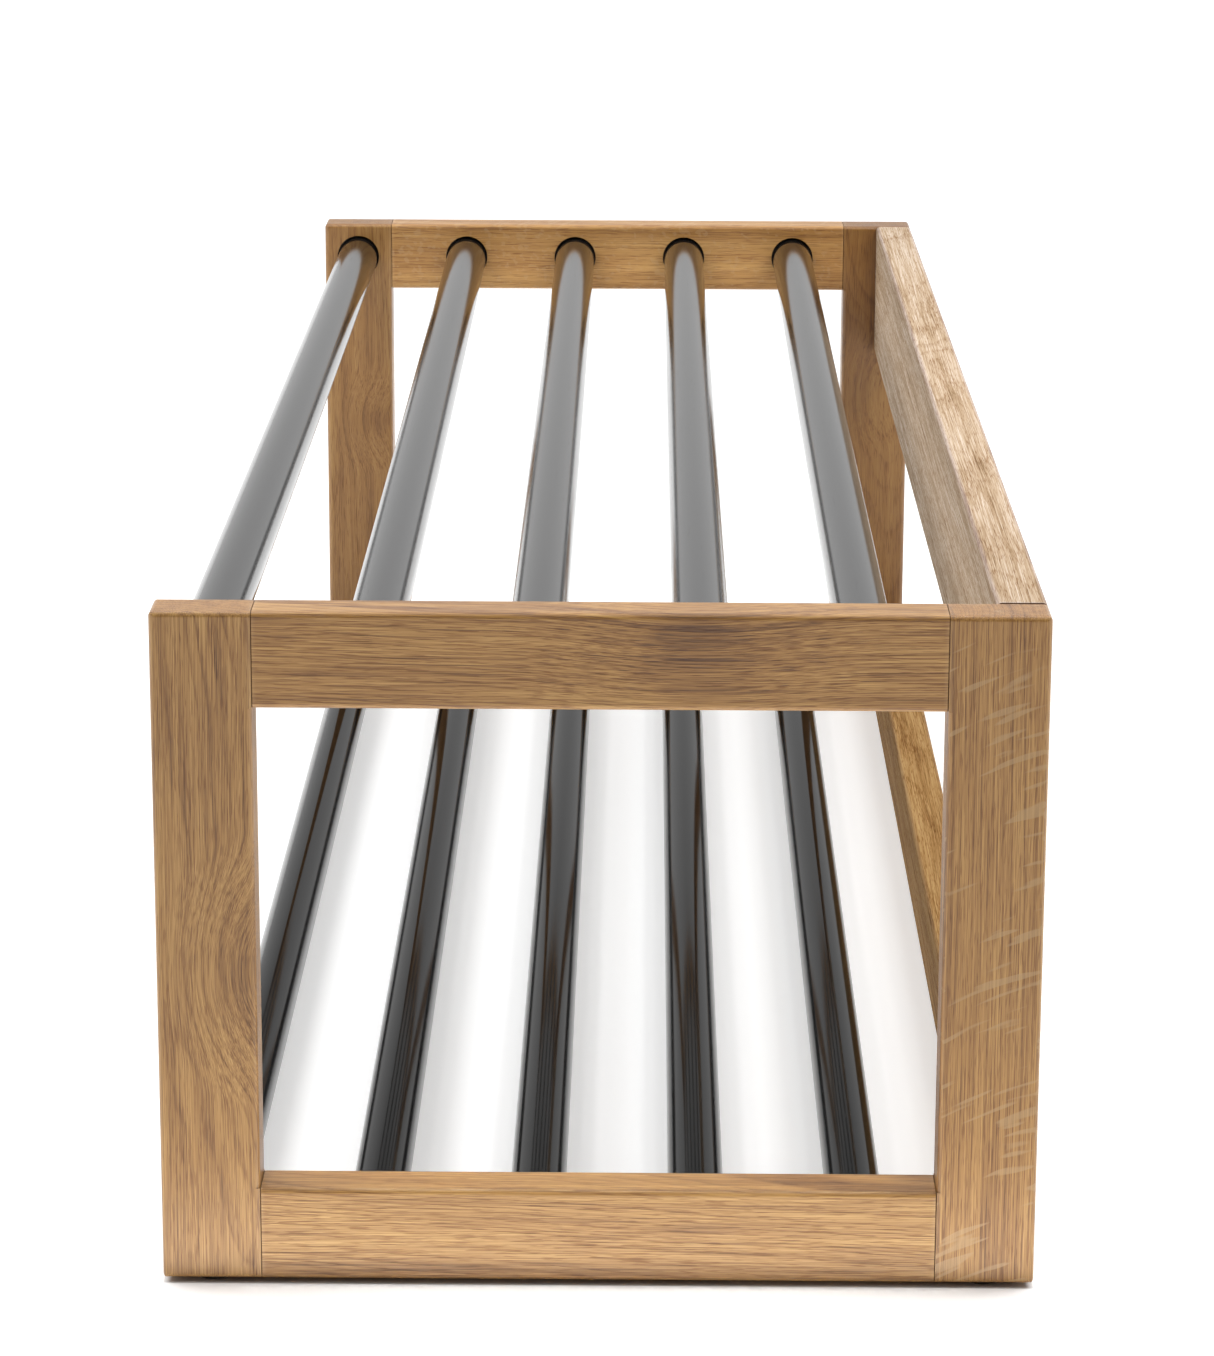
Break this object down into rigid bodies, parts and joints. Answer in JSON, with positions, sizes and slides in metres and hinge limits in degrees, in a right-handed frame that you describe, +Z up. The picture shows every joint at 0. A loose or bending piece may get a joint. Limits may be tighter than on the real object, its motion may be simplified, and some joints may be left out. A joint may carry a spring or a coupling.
{
  "type": "luggage rack",
  "caption": "Low rack with oak end frames and back rails, and two decks of round dark metal tubes that lie in blind sockets, for bags above and shoes below.",
  "frame": {"origin": "on the floor, under the middle of the rack", "axes": "+X along the tubes towards the end frame shown nearest, +Y from the open front to the back rails, +Z up"},
  "size_m": [1.07, 0.38, 0.302],
  "materials": {
    "oak": "oiled oak",
    "tube_black": "satin black lacquer",
    "beech": "bare beech",
    "felt": "pressed felt"
  },
  "bodies": {
    "rack": {"left_front_post": "oak", "left_back_post": "oak", "right_front_post": "oak", "right_back_post": "oak", "left_lower_rail": "oak", "left_upper_rail": "oak", "right_lower_rail": "oak", "right_upper_rail": "oak", "back_lower_rail": "oak", "back_upper_rail": "oak", "left_frame_dowels": "beech", "right_frame_dowels": "beech", "back_lower_dowels": "beech", "back_upper_dowels": "beech", "left_front_pad": "felt", "left_back_pad": "felt", "right_front_pad": "felt", "right_back_pad": "felt"},
    "lower_tube_1": {"lower_tube_1": "tube_black"},
    "lower_tube_2": {"lower_tube_2": "tube_black"},
    "lower_tube_3": {"lower_tube_3": "tube_black"},
    "lower_tube_4": {"lower_tube_4": "tube_black"},
    "lower_tube_5": {"lower_tube_5": "tube_black"},
    "upper_tube_1": {"upper_tube_1": "tube_black"},
    "upper_tube_2": {"upper_tube_2": "tube_black"},
    "upper_tube_3": {"upper_tube_3": "tube_black"},
    "upper_tube_4": {"upper_tube_4": "tube_black"},
    "upper_tube_5": {"upper_tube_5": "tube_black"}
  },
  "joints": [
    {"name": "lower_tube_1_spin", "type": "hinge", "parent": "rack", "child": "lower_tube_1", "pos_m": [0, -0.1685, 0.0224], "axis": [1, 0, 0], "continuous": true},
    {"name": "lower_tube_2_spin", "type": "hinge", "parent": "rack", "child": "lower_tube_2", "pos_m": [0, -0.098, 0.0224], "axis": [1, 0, 0], "continuous": true},
    {"name": "lower_tube_3_spin", "type": "hinge", "parent": "rack", "child": "lower_tube_3", "pos_m": [0, -0.0275, 0.0224], "axis": [1, 0, 0], "continuous": true},
    {"name": "lower_tube_4_spin", "type": "hinge", "parent": "rack", "child": "lower_tube_4", "pos_m": [0, 0.043, 0.0224], "axis": [1, 0, 0], "continuous": true},
    {"name": "lower_tube_5_spin", "type": "hinge", "parent": "rack", "child": "lower_tube_5", "pos_m": [0, 0.1135, 0.0224], "axis": [1, 0, 0], "continuous": true},
    {"name": "upper_tube_1_spin", "type": "hinge", "parent": "rack", "child": "upper_tube_1", "pos_m": [0, -0.1685, 0.2804], "axis": [1, 0, 0], "continuous": true},
    {"name": "upper_tube_2_spin", "type": "hinge", "parent": "rack", "child": "upper_tube_2", "pos_m": [0, -0.098, 0.2804], "axis": [1, 0, 0], "continuous": true},
    {"name": "upper_tube_3_spin", "type": "hinge", "parent": "rack", "child": "upper_tube_3", "pos_m": [0, -0.0275, 0.2804], "axis": [1, 0, 0], "continuous": true},
    {"name": "upper_tube_4_spin", "type": "hinge", "parent": "rack", "child": "upper_tube_4", "pos_m": [0, 0.043, 0.2804], "axis": [1, 0, 0], "continuous": true},
    {"name": "upper_tube_5_spin", "type": "hinge", "parent": "rack", "child": "upper_tube_5", "pos_m": [0, 0.1135, 0.2804], "axis": [1, 0, 0], "continuous": true}
  ]
}
